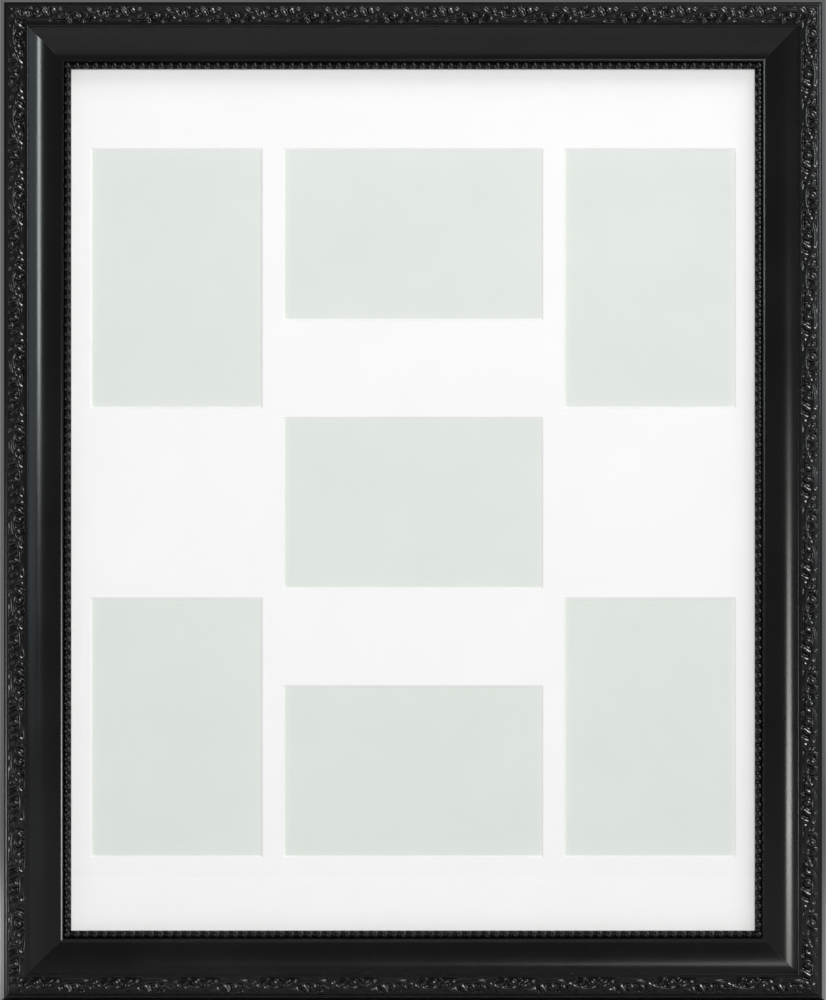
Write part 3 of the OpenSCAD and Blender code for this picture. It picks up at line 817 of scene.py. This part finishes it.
# %% Glass
glass, tree, shader = new_material("clear_glazing")
shader.inputs["Base Color"].default_value = (1, 1, 1, 1)
shader.inputs["Transmission Weight"].default_value = 1.0
shader.inputs["IOR"].default_value = 1.47
coords = object_coords(tree)
smear = noise(tree, coords, 7.0, 3.0)
tree.links.new(spread(tree, smear, 0.0, 0.02), shader.inputs["Roughness"])
clear = tree.nodes.new("ShaderNodeBsdfTransparent")
path = tree.nodes.new("ShaderNodeLightPath")
either = tree.nodes.new("ShaderNodeMath")
either.operation = "MAXIMUM"
tree.links.new(path.outputs["Is Shadow Ray"], either.inputs[0])
tree.links.new(path.outputs["Is Diffuse Ray"], either.inputs[1])
choose = tree.nodes.new("ShaderNodeMixShader")
tree.links.new(either.outputs[0], choose.inputs[0])
tree.links.new(shader.outputs[0], choose.inputs[1])
tree.links.new(clear.outputs[0], choose.inputs[2])
output = next(n for n in tree.nodes if n.type == "OUTPUT_MATERIAL")
tree.links.new(choose.outputs[0], output.inputs["Surface"])
print("glass nodes", len(tree.nodes))

# %% [markdown]
# Two surfaces in exactly one place confuse a ray tracer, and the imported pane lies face
# to face with the board. The visible pane is therefore its own slab, kept a twentieth
# of a millimetre clear, with the ground arris that keeps a cut pane from chipping.

# %% Pane
def slab(name, low, high, arris):
    """A box between two corners whose front and back edges are ground at 45 degrees."""
    verts = []
    for y, inset in ((low.y, arris), (low.y + arris, 0), (high.y - arris, 0), (high.y, arris)):
        for x, z in ((low.x + inset, low.z + inset), (high.x - inset, low.z + inset),
                     (high.x - inset, high.z - inset), (low.x + inset, high.z - inset)):
            verts.append((x, y, z))
    faces = [(0, 1, 2, 3), (15, 14, 13, 12)]
    for r in range(3):
        for k in range(4):
            j = (k + 1) % 4
            faces.append((4 * r + j, 4 * r + k, 4 * r + 4 + k, 4 * r + 4 + j))
    return make_mesh(name, verts, faces, smooth=False)


pane_low, pane_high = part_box("glazing")
PANE_GAP, ARRIS = 0.05, 0.25
clear_of = Vector((0, PANE_GAP * MM, 0))
pane = slab("pane", pane_low + clear_of, pane_high - clear_of, ARRIS * MM)
put_material(pane, glass)
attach(pane, "root")
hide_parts("glazing")
print("pane thickness in mm", round((pane_high.y - pane_low.y) / MM - 2 * PANE_GAP, 2))

# %% [markdown]
# ## Backing board
# The back is hardboard: pressed wood fibre with a smooth brown face, fine flecks and
# long faint clouds. Flecks are a second, finer noise laid over the first.

# %% Hardboard
hardboard, tree, shader = new_material("brown_backing_board")
coords = object_coords(tree)
cloud = noise(tree, coords, 12.0, 5.0, 0.6)
fleck = noise(tree, coords, 700.0, 3.0, 0.65)
hair = noise(tree, coords, 260.0, 3.0, 0.6, (1.0, 1.0, 0.22))
base = tint(tree, cloud, (0.235, 0.135, 0.068), (0.30, 0.18, 0.098))
flecks = tint(tree, fleck, (0.66, 0.62, 0.58), (1.12, 1.1, 1.08))
over = tree.nodes.new("ShaderNodeMix")
over.data_type = "RGBA"
over.blend_type = "MULTIPLY"
over.inputs["Factor"].default_value = 1.0
tree.links.new(base, over.inputs[6])
tree.links.new(flecks, over.inputs[7])
tree.links.new(over.outputs[2], shader.inputs["Base Color"])
tree.links.new(spread(tree, hair, 0.42, 0.6), shader.inputs["Roughness"])
rough = bump(tree, shader, hair, 0.02)
bump(tree, shader, fleck, 0.02, rough)
put_material(nodes["backing_board"], hardboard)
print("hardboard nodes", len(tree.nodes))

# %% [markdown]
# ## Fittings
# The buttons, nails, straps, screws and rings are zinc plated steel: a bluish grey
# metal with cloudy patches and fine scratches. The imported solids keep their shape. A
# bevel modifier breaks their edges, and a weld first joins the corners that the file
# format keeps apart. The rings are round wire, so they need neither.

# %% Zinc plated steel
EDGE_BREAK, WELD_REACH = 0.12, 1e-6
STEEL_STARTS = ("turn_button", "hanger", "corner_nails", "d_ring")
zinc, tree, shader = new_material("zinc_plated_steel")
coords = object_coords(tree)
cloud = noise(tree, coords, 300.0, 4.0, 0.6)
scratch = noise(tree, coords, 900.0, 3.0, 0.6, (1.0, 1.0, 0.08))
shader.inputs["Metallic"].default_value = 1.0
tree.links.new(tint(tree, cloud, (0.50, 0.51, 0.52), (0.68, 0.69, 0.695)),
               shader.inputs["Base Color"])
tree.links.new(spread(tree, scratch, 0.26, 0.44), shader.inputs["Roughness"])
pits = bump(tree, shader, cloud, 0.01)
bump(tree, shader, scratch, 0.004, pits)
steel_nodes = [n for n in nodes if n.startswith(STEEL_STARTS)]
for name in steel_nodes:
    piece = nodes[name]
    put_material(piece, zinc)
    if name.startswith("d_ring"):
        continue
    weld = piece.modifiers.new("weld", "WELD")
    weld.merge_threshold = WELD_REACH
    edge = piece.modifiers.new("edge", "BEVEL")
    edge.width = EDGE_BREAK * MM
    edge.segments = 2
    edge.limit_method = "ANGLE"
    edge.angle_limit = math.radians(40)
    edge.harden_normals = True
print("steel pieces", len(steel_nodes))
